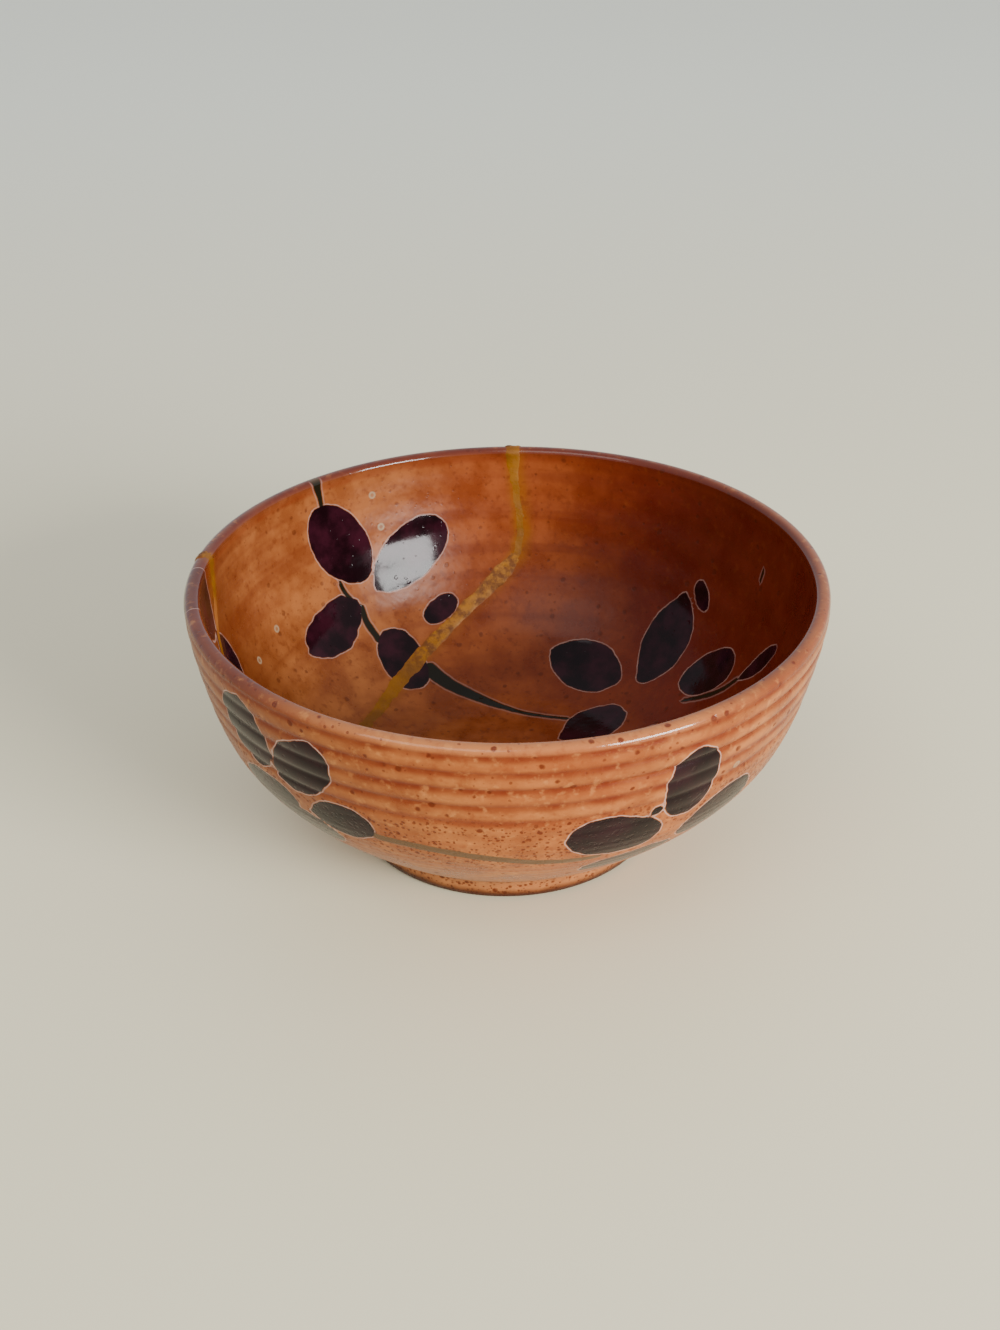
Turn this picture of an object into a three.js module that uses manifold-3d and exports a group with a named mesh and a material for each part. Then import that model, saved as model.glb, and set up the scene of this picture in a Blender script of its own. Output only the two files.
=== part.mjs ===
// Kintsugi bowl: a wheel-thrown stoneware bowl, broken once and joined again with gold lacquer.
// Millimetres, +Z up. The origin is under the middle of the foot, on the surface the bowl stands on.
import * as THREE from "three";
import { mergeVertices } from "three/addons/utils/BufferGeometryUtils.js";
import Module from "manifold-3d";

// ---- driving dimensions ----
const BOWL_RADIUS = 75;
const BOWL_HEIGHT = 67;
const LATHE_SEGMENTS = 56;

const FOOT_RADIUS = 37.8; // outside of the foot ring, where it stands
const FOOT_HEIGHT = 5;
const FOOT_RING_WIDTH = 5.4;
const FOOT_CHAMFER = 0.7;
const FOOT_RECESS = 4; // depth of the hollow inside the foot ring

const LIP_INNER_RADIUS = 71.2;
const LIP_ROUNDING = 1.7; // height of the rounded lip

const RING_PITCH = 4.6; // throwing rings on the upper outside
const RING_DEPTH = 0.55;
const RING_COUNT = 6;
const TOP_GROOVE_HEIGHT = BOWL_HEIGHT - 2.1;

const FLOOR_HEIGHT = 9.5; // the inside, at its middle

const SEAM_WIDTH = 2.8; // gold lacquer, through the whole wall
const SEAM_PROUD = 0.3; // how far it stands above both glazed faces
const JOINT_GAP = 0.3; // between the lacquer and each broken edge

// Outside of the wall, radius and height, from the foot ring to the lip.
const OUTER_WALL = [
  [40.6, 5.8],
  [47.5, 11.1],
  [55.1, 18.6],
  [61.7, 26.0],
  [67.0, 33.6],
  [70.3, 41.5],
  [72.5, 50.0],
  [74.2, 58.5],
  [BOWL_RADIUS, BOWL_HEIGHT - LIP_ROUNDING],
];

// Inside, from the middle of the floor to the lip.
const INNER_WALL = [
  [0, FLOOR_HEIGHT],
  [16, 9.8],
  [30, 11.2],
  [42, 15.0],
  [51, 20.8],
  [59, 29.5],
  [64.6, 40.0],
  [68.4, 51.0],
  [70.6, 60.5],
  [LIP_INNER_RADIUS, BOWL_HEIGHT - LIP_ROUNDING],
];

// The break: direction round the bowl in degrees from +X, and how far up the inside it lies,
// from 0 at the middle of the floor to 1 at the lip. It starts over the rim at the back, runs
// down and across the floor, and comes up over the rim again at the left.
const BREAK_PATH = [
  [88.7, 1.08],
  [87.6, 0.94],
  [86.1, 0.8],
  [89, 0.7],
  [105, 0.585],
  [125, 0.475],
  [149, 0.4],
  [171, 0.415],
  [187, 0.53],
  [190, 0.68],
  [183, 0.84],
  [174.5, 0.94],
  [169.5, 1.08],
];
const BREAK_STEPS = 44;
const SHARD_MIDDLE = [132, 0.82]; // a place well inside the piece that broke away
const SHARD_RINGS = 5;
const REACH_INSIDE = -4; // the cutting surfaces run past both faces of the wall
const REACH_OUTSIDE = 13;

const wasm = await Module();
wasm.setup();

// ---- wall curves ----
function smoothCurve(points) {
  return new THREE.SplineCurve(points.map(([radius, height]) => new THREE.Vector2(radius, height)));
}

const outerWall = smoothCurve(OUTER_WALL);
const innerWall = smoothCurve(INNER_WALL);

// The ripple left by the thrower's fingers: broad round crests between narrow grooves.
function ringDip(height) {
  const lowestGroove = TOP_GROOVE_HEIGHT - RING_COUNT * RING_PITCH;
  if (height < lowestGroove - RING_PITCH / 2 || height > TOP_GROOVE_HEIGHT + 0.3) return 0;
  const turn = (Math.PI * (TOP_GROOVE_HEIGHT - height)) / RING_PITCH;
  return RING_DEPTH * (1 - Math.sqrt(Math.abs(Math.sin(turn))));
}

// Radius of the plain outside wall at a height, found along its curve.
function outerRadius(height) {
  let low = 0;
  let high = 1;
  for (let step = 0; step < 30; step += 1) {
    const middle = (low + high) / 2;
    if (outerWall.getPoint(middle).y < height) low = middle;
    else high = middle;
  }
  return outerWall.getPoint(low).x;
}

// ---- lathe profile ----
function footProfile() {
  const inside = FOOT_RADIUS - FOOT_RING_WIDTH;
  return [
    [0, FOOT_RECESS],
    [inside - 2.2, FOOT_RECESS],
    [inside - 0.8, FOOT_CHAMFER],
    [inside, 0],
    [FOOT_RADIUS - FOOT_CHAMFER, 0],
    [FOOT_RADIUS, FOOT_CHAMFER],
    [FOOT_RADIUS + 0.6, FOOT_HEIGHT - 0.6],
    [FOOT_RADIUS + 1.3, FOOT_HEIGHT + 0.3],
  ];
}

function outsideProfile() {
  const points = [];
  const ringStart = TOP_GROOVE_HEIGHT - RING_COUNT * RING_PITCH;
  for (let height = OUTER_WALL[0][1]; height < ringStart - 2; height += 4.4) {
    points.push([outerRadius(height), height]);
  }
  const cuts = [0, 0.25, 0.5, 0.75];
  for (let ring = RING_COUNT; ring > 0; ring -= 1) {
    for (const cut of cuts) {
      const height = TOP_GROOVE_HEIGHT - (ring - cut) * RING_PITCH;
      points.push([outerRadius(height) - ringDip(height), height]);
    }
  }
  points.push([outerRadius(TOP_GROOVE_HEIGHT) - RING_DEPTH, TOP_GROOVE_HEIGHT]);
  return points;
}

// Half an ellipse over the top of the wall, from outside to inside.
function lipProfile() {
  const middle = (BOWL_RADIUS + LIP_INNER_RADIUS) / 2;
  const half = (BOWL_RADIUS - LIP_INNER_RADIUS) / 2;
  const points = [];
  const steps = 6;
  for (let step = 0; step < steps; step += 1) {
    const angle = (Math.PI * step) / steps;
    const height = BOWL_HEIGHT - LIP_ROUNDING + LIP_ROUNDING * Math.sin(angle);
    points.push([middle + half * Math.cos(angle), height]);
  }
  return points;
}

function insideProfile() {
  const points = [];
  const steps = 15;
  for (let step = steps; step >= 0; step -= 1) {
    const place = innerWall.getPointAt(step / steps);
    points.push([place.x, place.y]);
  }
  points[points.length - 1][0] = 0;
  return points;
}

function bowlProfile() {
  const points = [...footProfile(), ...outsideProfile(), ...lipProfile(), ...insideProfile()];
  return points.map(([radius, height]) => new THREE.Vector2(radius, height));
}

// The same profile moved outwards along its own normals; the ends stay on the axis.
function swollenProfile(profile, distance) {
  return profile.map((point, index) => {
    const before = profile[Math.max(index - 1, 0)];
    const after = profile[Math.min(index + 1, profile.length - 1)];
    const along = after.clone().sub(before).normalize();
    const moved = new THREE.Vector2(point.x + along.y * distance, point.y - along.x * distance);
    if (point.x === 0) moved.x = 0;
    return moved;
  });
}

// ---- solids ----
function toSolid(geometry) {
  const bare = geometry.clone();
  bare.deleteAttribute("normal");
  bare.deleteAttribute("uv");
  const merged = mergeVertices(bare, 1e-4);
  const vertProperties = new Float32Array(merged.attributes.position.array);
  const triVerts = new Uint32Array(merged.index.array);
  return new wasm.Manifold(new wasm.Mesh({ numProp: 3, vertProperties, triVerts }));
}

function toGeometry(solid) {
  const mesh = solid.getMesh();
  const geometry = new THREE.BufferGeometry();
  geometry.setAttribute("position", new THREE.BufferAttribute(mesh.vertProperties, 3));
  geometry.setIndex(new THREE.BufferAttribute(mesh.triVerts, 1));
  const faceted = geometry.toNonIndexed();
  faceted.computeVertexNormals();
  return faceted;
}

function turned(profile) {
  const geometry = new THREE.LatheGeometry(profile, LATHE_SEGMENTS);
  geometry.rotateX(Math.PI / 2); // the lathe's axis is Y; stand it up along Z
  return toSolid(geometry);
}

// A closed solid from rings of points: each ring joins the next, and both ends are capped.
function closedSweep(rings) {
  const count = rings[0].length;
  const positions = rings.flat().flatMap((point) => point.toArray());
  const faces = [];
  for (let ring = 0; ring + 1 < rings.length; ring += 1) {
    for (let corner = 0; corner < count; corner += 1) {
      const a = ring * count + corner;
      const b = ring * count + ((corner + 1) % count);
      faces.push(a, b + count, b, a, a + count, b + count);
    }
  }
  const last = (rings.length - 1) * count;
  for (let corner = 1; corner + 1 < count; corner += 1) {
    faces.push(0, corner, corner + 1);
    faces.push(last, last + corner + 1, last + corner);
  }
  const geometry = new THREE.BufferGeometry();
  geometry.setAttribute("position", new THREE.Float32BufferAttribute(positions, 3));
  geometry.setIndex(faces);
  return geometry;
}

// ---- the break ----
const breakCurve = smoothCurve(BREAK_PATH);

// A place on the inside face, and the direction through the wall there, pointing outwards.
function insidePlace([azimuth, climb]) {
  const along = Math.min(climb, 1);
  const overRim = (climb - along) * innerWall.getLength();
  const place = innerWall.getPointAt(along);
  const tangent = innerWall.getTangentAt(along);
  const angle = THREE.MathUtils.degToRad(azimuth);
  const outward = new THREE.Vector3(Math.cos(angle), Math.sin(angle), 0);
  const position = outward.clone().multiplyScalar(place.x).setZ(place.y + overRim);
  const through = outward.clone().multiplyScalar(tangent.y).setZ(-tangent.x).normalize();
  return { position, through };
}

function breakPlace(fraction) {
  return insidePlace(breakCurve.getPoint(fraction).toArray());
}

// A fin that follows the break at right angles to the wall.
function breakFin(width) {
  const rings = [];
  for (let step = 0; step <= BREAK_STEPS; step += 1) {
    const fraction = step / BREAK_STEPS;
    const { position, through } = breakPlace(fraction);
    const before = breakPlace(Math.max(fraction - 0.004, 0)).position;
    const after = breakPlace(Math.min(fraction + 0.004, 1)).position;
    const side = after.sub(before).cross(through).setLength(width / 2);
    const corner = (depth, sign) =>
      position.clone().addScaledVector(through, depth).addScaledVector(side, sign);
    rings.push([
      corner(REACH_INSIDE, 1),
      corner(REACH_OUTSIDE, 1),
      corner(REACH_OUTSIDE, -1),
      corner(REACH_INSIDE, -1),
    ]);
  }
  return toSolid(closedSweep(rings));
}

// A block that holds the broken piece: rings that grow from its middle to the break.
function shardBlock() {
  const rim = [];
  for (let step = 0; step <= BREAK_STEPS; step += 1) {
    rim.push(breakCurve.getPoint(step / BREAK_STEPS).toArray());
  }
  const [start] = rim;
  const end = rim[rim.length - 1];
  for (let step = 1; step < 8; step += 1) {
    rim.push([THREE.MathUtils.lerp(end[0], start[0], step / 8), start[1]]);
  }
  const vertices = [];
  for (const depth of [REACH_INSIDE, REACH_OUTSIDE]) {
    for (let ring = 0; ring <= SHARD_RINGS; ring += 1) {
      const grow = ring / SHARD_RINGS;
      for (const [azimuth, climb] of rim) {
        const here = [
          THREE.MathUtils.lerp(SHARD_MIDDLE[0], azimuth, grow),
          THREE.MathUtils.lerp(SHARD_MIDDLE[1], climb, grow),
        ];
        const { position, through } = insidePlace(here);
        vertices.push(position.addScaledVector(through, depth));
      }
    }
  }
  return toSolid(patchBlock(vertices, rim.length));
}

// Two faces of concentric rings, one on each side of the wall, closed round the outermost ring.
function patchBlock(vertices, count) {
  const layer = count * (SHARD_RINGS + 1);
  const faces = [];
  for (let ring = 0; ring < SHARD_RINGS; ring += 1) {
    for (let index = 0; index < count; index += 1) {
      const next = (index + 1) % count;
      const a = ring * count + index;
      const b = ring * count + next;
      if (ring > 0) {
        faces.push(a, b, a + count);
        faces.push(a + layer, a + layer + count, b + layer);
      }
      faces.push(b, b + count, a + count);
      faces.push(b + layer, a + layer + count, b + layer + count);
    }
  }
  const outermost = SHARD_RINGS * count;
  for (let index = 0; index < count; index += 1) {
    const a = outermost + index;
    const b = outermost + ((index + 1) % count);
    faces.push(a, b + layer, a + layer, a, b, b + layer);
  }
  const geometry = new THREE.BufferGeometry();
  const positions = vertices.flatMap((point) => point.toArray());
  geometry.setAttribute("position", new THREE.Float32BufferAttribute(positions, 3));
  geometry.setIndex(faces);
  return geometry;
}

// ---- the three pieces ----
const profile = bowlProfile();
const wholeBowl = turned(profile);
const swollenBowl = turned(swollenProfile(profile, SEAM_PROUD));
const clearance = breakFin(SEAM_WIDTH + 2 * JOINT_GAP);
const block = shardBlock();

const glazedStoneware = new THREE.MeshStandardMaterial({ color: 0xa5633c, roughness: 0.28, metalness: 0 });
const goldLacquer = new THREE.MeshStandardMaterial({ color: 0xb07a1c, roughness: 0.38, metalness: 0.85 });

const bowl = new THREE.Group();

function addPiece(name, solid, material) {
  const piece = new THREE.Mesh(toGeometry(solid), material);
  piece.name = name;
  bowl.add(piece);
}

addPiece("bowl_body", wholeBowl.subtract(block).subtract(clearance), glazedStoneware);
addPiece("rejoined_shard", wholeBowl.intersect(block).subtract(clearance), glazedStoneware);
addPiece("gold_seam", swollenBowl.intersect(breakFin(SEAM_WIDTH)), goldLacquer);

export default bowl;
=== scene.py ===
from collections import namedtuple
from math import cos, pi, radians, sin

import bpy
import numpy as np
from mathutils import Matrix, Vector, noise


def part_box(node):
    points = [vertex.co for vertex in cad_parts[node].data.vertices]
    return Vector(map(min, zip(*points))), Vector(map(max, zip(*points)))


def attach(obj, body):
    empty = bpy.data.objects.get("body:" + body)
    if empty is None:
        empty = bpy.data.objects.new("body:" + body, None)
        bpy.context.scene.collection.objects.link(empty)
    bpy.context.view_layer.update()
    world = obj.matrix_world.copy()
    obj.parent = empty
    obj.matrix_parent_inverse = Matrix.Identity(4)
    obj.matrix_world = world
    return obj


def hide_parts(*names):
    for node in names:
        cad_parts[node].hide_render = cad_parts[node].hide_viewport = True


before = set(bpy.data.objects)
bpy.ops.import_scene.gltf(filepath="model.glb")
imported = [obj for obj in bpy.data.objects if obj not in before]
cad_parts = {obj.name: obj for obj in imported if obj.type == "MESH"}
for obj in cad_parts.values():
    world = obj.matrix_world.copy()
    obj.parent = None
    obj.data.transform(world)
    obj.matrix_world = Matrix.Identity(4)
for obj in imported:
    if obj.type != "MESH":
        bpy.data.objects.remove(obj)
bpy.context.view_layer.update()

# Shapes are worked out in millimetres, in the frame's axes, and become metres when a mesh is made.
MM = 0.001
_, BODY_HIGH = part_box("bowl_body")
BOWL_RADIUS = BODY_HIGH.x / MM
BOWL_HEIGHT = BODY_HIGH.z / MM

# ---- the clay form: the CAD model's sizes, but for a slightly higher foot and lower wall ----
FOOT_RADIUS = 37.8
FOOT_RING_WIDTH = 5.4
FOOT_RECESS = 4.0
LIP_INNER_RADIUS = 71.2
LIP_ROUNDING = 1.7
LIP_BASE = BOWL_HEIGHT - LIP_ROUNDING
RING_PITCH = 4.6
RING_DEPTH = 0.55
RING_COUNT = 6
TOP_GROOVE_HEIGHT = BOWL_HEIGHT - 2.1
LOWEST_GROOVE_HEIGHT = TOP_GROOVE_HEIGHT - RING_COUNT * RING_PITCH
FLOOR_HEIGHT = 9.5
PITTED_BOTTOM = 33
PITTED_TOP = 45
RIPPLE_DEPTH = 0.04  # faint turning marks low on the outside
RIPPLE_PITCH = 2.2
INSIDE_WAVE_DEPTH = 0.05  # broad waves down the inside
INSIDE_WAVE_PITCH = 9.5
OUT_OF_ROUND = 0.0025  # at the lip, as a share of the radius
OUT_OF_LEVEL = 0.3  # at the lip
OFF_CENTRE = 0.7  # how far the foot lies to the left of the lip's middle

OUTER_WALL = [
    (40.4, 7.0), (47.3, 12.5), (55.0, 19.3), (61.7, 26.2), (67.0, 33.6),
    (70.3, 41.5), (72.5, 50.0), (74.2, 58.5), (BOWL_RADIUS, LIP_BASE),
]
INNER_WALL = [
    (0, FLOOR_HEIGHT), (16, 9.8), (30, 11.2), (42, 15.0), (51, 20.8),
    (59, 29.5), (64.6, 40.0), (68.4, 51.0), (70.6, 60.5), (LIP_INNER_RADIUS, LIP_BASE),
]
# Azimuth in degrees, and how far up the inside, from 0 at the middle of the floor to 1 at the lip.
BREAK_PATH = [
    (88.7, 1.08), (87.8, 0.93), (86.2, 0.775), (90.5, 0.685), (104, 0.57), (124.5, 0.456), (149, 0.392),
    (171, 0.413), (187, 0.53), (190, 0.68), (183, 0.84), (174.5, 0.94), (169.5, 1.08),
]

# ---- how finely the meshes are made ----
OUTER_SAMPLES = 900
INNER_SAMPLES = 1100
OUTLINE_SAMPLES = 4000
COLUMNS = 400
FOOT_STEP = 1.2
PLAIN_STEP = 0.8
RING_STEP = 0.5
LIP_STEP = 0.35
INSIDE_STEP = 1.05
BREAK_SAMPLES = 260
BREAK_REACH = 6.0  # the share of the break is needed only this near to it
LIP_SAMPLES = 10
SEAM_STEP = 0.7
EDGE_BACK = 0.9  # each broken edge stops this far from the middle of the gold


# ---- curves ----
def spline(points, count):
    """Points along a uniform Catmull-Rom curve, at equal steps of its parameter."""
    points = np.array(points, float)
    parameter = np.linspace(0, len(points) - 1, count)
    index = np.minimum(parameter.astype(int), len(points) - 2)
    t = (parameter - index)[:, None]
    p1 = points[index]
    p2 = points[index + 1]
    v1 = (p2 - points[np.maximum(index - 1, 0)]) / 2
    v2 = (points[np.minimum(index + 2, len(points) - 1)] - p1) / 2
    cubic = 2 * p1 - 2 * p2 + v1 + v2
    square = -3 * p1 + 3 * p2 - 2 * v1 - v2
    return ((cubic * t + square) * t + v1) * t + p1


def worn_corners(points):
    """Cuts each corner of a line three times over, so that it ends up round."""
    points = np.array(points, float)
    for _ in range(3):
        nearer = points[:-1] * 0.75 + points[1:] * 0.25
        further = points[:-1] * 0.25 + points[1:] * 0.75
        between = np.stack([nearer, further], 1).reshape(-1, 2)
        points = np.vstack([points[:1], between[1:-1], points[-1:]])
    return points


def lengths_along(points):
    steps = np.linalg.norm(np.diff(points, axis=0), axis=1)
    return np.concatenate([[0], np.cumsum(steps)])


def blur(values, width):
    """A moving average that keeps its ends."""
    padded = np.concatenate([np.repeat(values[:1], width), values, np.repeat(values[-1:], width)])
    window = np.ones(2 * width + 1) / (2 * width + 1)
    return np.convolve(padded, window, "valid")


def eased(value, low, high):
    """0 below low, 1 above high, and a smooth climb between them."""
    t = np.clip((value - low) / (high - low), 0, 1)
    return t * t * (3 - 2 * t)


# ---- the outline of the wall, from under the foot, over the lip, to the middle of the floor ----
def foot_points():
    inside = FOOT_RADIUS - FOOT_RING_WIDTH
    recess = [(radius, FOOT_RECESS) for radius in (0, 12, 24, inside - 2.4)]
    step = [(inside + aside, height) for aside, height in ((-1.0, 1.1), (0.4, 0.1), (1.8, 0))]
    edge = ((-1.6, 0), (-0.4, 0.25), (0.1, 1.2), (0.5, 5.0), (1.2, 6.0))
    edge = [(FOOT_RADIUS + aside, height) for aside, height in edge]
    return worn_corners(recess + step + edge + OUTER_WALL[:1])


FOOT_LINE = foot_points()
OUTER_LINE = spline(OUTER_WALL, OUTER_SAMPLES)[1:]
LIP_LINE = worn_corners([
    (BOWL_RADIUS, LIP_BASE + 0.1), (BOWL_RADIUS - 0.3, LIP_BASE + 0.78),
    (BOWL_RADIUS - 0.75, LIP_BASE + 1.38), (BOWL_RADIUS - 1.7, BOWL_HEIGHT + 0.05),
    (LIP_INNER_RADIUS + 0.7, BOWL_HEIGHT - 0.05),
    (LIP_INNER_RADIUS, LIP_BASE + 0.8), (LIP_INNER_RADIUS, LIP_BASE + 0.1),
])
INNER_LINE = spline(INNER_WALL, INNER_SAMPLES)[::-1]
OUTLINE = np.vstack([FOOT_LINE, OUTER_LINE, LIP_LINE, INNER_LINE])
OUTLINE_ALONG = lengths_along(OUTLINE)
WALL_START = OUTLINE_ALONG[len(FOOT_LINE) - 1]
LIP_START = OUTLINE_ALONG[len(FOOT_LINE) + len(OUTER_LINE) - 1]
INSIDE_START = OUTLINE_ALONG[len(FOOT_LINE) + len(OUTER_LINE) + len(LIP_LINE)]
LIP_TOP = (LIP_START + INSIDE_START) / 2
OUTLINE_END = OUTLINE_ALONG[-1]
INSIDE_LENGTH = OUTLINE_END - INSIDE_START


def even_outline():
    """The outline at even steps, with its outward normals."""
    along = np.linspace(0, OUTLINE_END, OUTLINE_SAMPLES)
    radius = np.interp(along, OUTLINE_ALONG, OUTLINE[:, 0])
    height = np.interp(along, OUTLINE_ALONG, OUTLINE[:, 1])
    run = blur(np.gradient(radius), 4)
    rise = blur(np.gradient(height), 4)
    size = np.hypot(run, rise)
    return along, radius, height, rise / size, -run / size


EVEN_ALONG, EVEN_RADIUS, EVEN_HEIGHT, EVEN_OUT, EVEN_UP = even_outline()


ON_OUTER_WALL = (EVEN_ALONG > WALL_START) & (EVEN_ALONG < LIP_START)


def at(along, values):
    """One of the even outline's values at places along it."""
    return np.interp(along, EVEN_ALONG, values)


def groove_distance(azimuth, height):
    """How far, in millimetres of height, a place is from the nearest throwing groove, and its number."""
    angle = np.radians(azimuth)
    wander = 0.3 * np.sin(angle + 1.3) + 0.18 * np.sin(2 * angle + 0.9 * height / RING_PITCH)
    turns = (TOP_GROOVE_HEIGHT - height + wander) / RING_PITCH
    return np.abs(turns - np.round(turns)) * RING_PITCH, np.round(turns)


def relief(azimuth, along):
    """How far the glazed surface stands off the plain outline."""
    angle = np.radians(azimuth)
    height = at(along, EVEN_HEIGHT)
    outside = (along > WALL_START) & (along < LIP_TOP)
    inside = along > INSIDE_START
    distance, turn = groove_distance(azimuth, height)
    ringed = eased(height, PITTED_TOP - 5, PITTED_TOP + 2) * eased(-height, -BOWL_HEIGHT, -LIP_BASE)
    uneven = 0.8 + 0.2 * np.sin(1.7 * turn + angle) + 0.16 * np.sin(2.3 * turn + 3 * angle)
    depth = RING_DEPTH * uneven
    groove = (1 - np.sin(np.pi * distance / RING_PITCH) ** 0.55) * depth * ringed
    low = eased(height, 9, 18) * (1 - eased(height, 33, 40))
    ripple = RIPPLE_DEPTH * np.sin(2 * np.pi * height / RIPPLE_PITCH + angle + 0.6 * np.sin(3 * angle))
    outer = -groove + ripple * low
    depth_inside = along - LIP_TOP
    soft = eased(depth_inside, 4, 14) * (1 - eased(depth_inside, 80, 104))
    inner = INSIDE_WAVE_DEPTH * np.sin(2 * np.pi * depth_inside / INSIDE_WAVE_PITCH + angle)
    return np.where(outside, outer, 0) + np.where(inside, inner * soft, 0)


def surface(azimuth, along):
    """Places on the glazed surface, and the plain outline's outward normals."""
    azimuth, along = np.broadcast_arrays(azimuth, along)
    angle = np.radians(azimuth)
    out = at(along, EVEN_OUT)
    up = at(along, EVEN_UP)
    stand = relief(azimuth, along)
    radius = at(along, EVEN_RADIUS) + out * stand
    height = at(along, EVEN_HEIGHT) + up * stand
    # A bowl taken off the wheel by hand is never quite round or level.
    climb = np.clip(height / BOWL_HEIGHT, 0, 1)
    radius = radius * (1 + OUT_OF_ROUND * climb * np.cos(2 * angle + 0.6))
    height = height + OUT_OF_LEVEL * climb**3 * np.sin(2 * angle + 1.0)
    shift = -OFF_CENTRE * (1 - climb)
    points = np.stack([radius * np.cos(angle) + shift, radius * np.sin(angle), height], -1)
    normals = np.stack([out * np.cos(angle), out * np.sin(angle), up], -1)
    return points, normals


def along_of(face, drop):
    """The place along the outline that is drop millimetres below the top of the lip."""
    return LIP_TOP + np.asarray(drop, float) * (1 if face == "in" else -1)


# ---- the break ----
def across_wall(inner_along):
    """Where lines through the wall from places on the inside come out on the outside."""
    partner = []
    for place in inner_along:
        run = at(place, EVEN_UP)
        rise = -at(place, EVEN_OUT)
        offset_radius = EVEN_RADIUS[ON_OUTER_WALL] - at(place, EVEN_RADIUS)
        offset_height = EVEN_HEIGHT[ON_OUTER_WALL] - at(place, EVEN_HEIGHT)
        off_line = np.abs(offset_radius * run + offset_height * rise)
        partner.append(EVEN_ALONG[ON_OUTER_WALL][np.argmin(off_line)])
    return np.array(partner)


def wavering(count, step, size, seed):
    """Smooth random numbers, about as large as size, changing over step places."""
    waves = [noise.noise(Vector((index / step, seed, 0))) for index in range(count)]
    return np.array(waves) * size


def break_lines():
    """The break inside and outside: azimuths, and places along the outline."""
    path = spline(BREAK_PATH, BREAK_SAMPLES)
    path = path[path[:, 1] <= 1]
    inner = INSIDE_START + (1 - path[:, 1]) * INSIDE_LENGTH
    outer = blur(across_wall(inner), 3)
    radius = at(inner, EVEN_RADIUS)
    azimuth = path[:, 0] + np.degrees(wavering(len(path), 7, 0.7, 3.1) / radius)
    return azimuth, inner, outer


BREAK_AZIMUTH, BREAK_INNER, BREAK_OUTER = break_lines()


def break_loop():
    """The whole break as one closed line: azimuth, place along the outline, and share of the break."""
    share = np.linspace(0, 1, len(BREAK_AZIMUTH))
    order = np.arange(len(share))
    index = np.concatenate([order, [order[-1]] * LIP_SAMPLES, order[::-1], [0] * LIP_SAMPLES])
    left_lip = np.linspace(BREAK_INNER[-1], BREAK_OUTER[-1], LIP_SAMPLES + 2)[1:-1]
    back_lip = np.linspace(BREAK_OUTER[0], BREAK_INNER[0], LIP_SAMPLES + 2)[1:-1]
    along = np.concatenate([BREAK_INNER, left_lip, BREAK_OUTER[::-1], back_lip])
    return np.column_stack([BREAK_AZIMUTH[index], along, share[index]])


BREAK_LOOP = break_loop()
LOOP_POINTS, _ = surface(*BREAK_LOOP[:, :2].T)


def line_distance(points, corners):
    """Distance from each point to a closed line."""
    best = np.full(len(points), 1e9)
    for start, end in zip(corners, np.roll(corners, -1, axis=0)):
        line = end - start
        share = np.clip((points - start) @ line / max(line @ line, 1e-12), 0, 1)
        gap = points - start - share[:, None] * line
        best = np.minimum(best, np.einsum("ij,ij->i", gap, gap))
    return np.sqrt(best)


def boxed(points, line, reach):
    """Which points lie in the box round a line, or within reach of it."""
    return np.all((points > line.min(0) - reach) & (points < line.max(0) + reach), axis=1)


def inside_polygon(x, y, corners):
    """Even-odd test of many points against one polygon."""
    result = np.zeros(len(x), bool)
    for (x1, y1), (x2, y2) in zip(corners, np.roll(corners, -1, axis=0)):
        crosses = (y1 > y) != (y2 > y)
        if y1 != y2:
            result ^= crosses & (x < (x2 - x1) * (y - y1) / (y2 - y1) + x1)
    return result


def break_distance(azimuth, along, points):
    """Signed distance to the break, negative on the piece that broke away, and the share of it passed."""
    far = BREAK_REACH * 2
    result = np.full(len(points), far)
    near = boxed(points, LOOP_POINTS, far)
    gap = line_distance(points[near], LOOP_POINTS)
    within = inside_polygon(azimuth[near], along[near], BREAK_LOOP[:, :2])
    result[near] = np.where(within, -gap, gap)
    share = np.zeros(len(points))
    close = np.flatnonzero(np.abs(result) < BREAK_REACH)
    for block in np.array_split(close, max(len(close) // 2000, 1)):
        gaps = ((points[block][:, None, :] - LOOP_POINTS[None, :, :]) ** 2).sum(2)
        share[block] = BREAK_LOOP[np.argmin(gaps, axis=1), 2]
    return result, share


# Gold dust left on the glaze beside the seam, by share of the break from the back rim.
STAIN = [
    (0, 0.5), (0.05, 0.55), (0.12, 0.8), (0.18, 0.75), (0.23, 0.6), (0.3, 0.35),
    (0.45, 0.4), (0.55, 0.5), (0.6, 0), (0.9, 0), (0.96, 0.4), (1, 0.7),
]


def looked_up(share, table):
    """Values at shares of the break, from a table of (share, value)."""
    shares, values = np.array(table).T
    return np.interp(share, shares, values)


def stain_near(split, share, inside):
    strength = looked_up(share, STAIN) * inside
    right = 1 - eased(split, 1.2, 4.6)
    left = 1 - eased(-split, 1.0, 3.0)
    return strength * np.where(split > 0, right, left)


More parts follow.
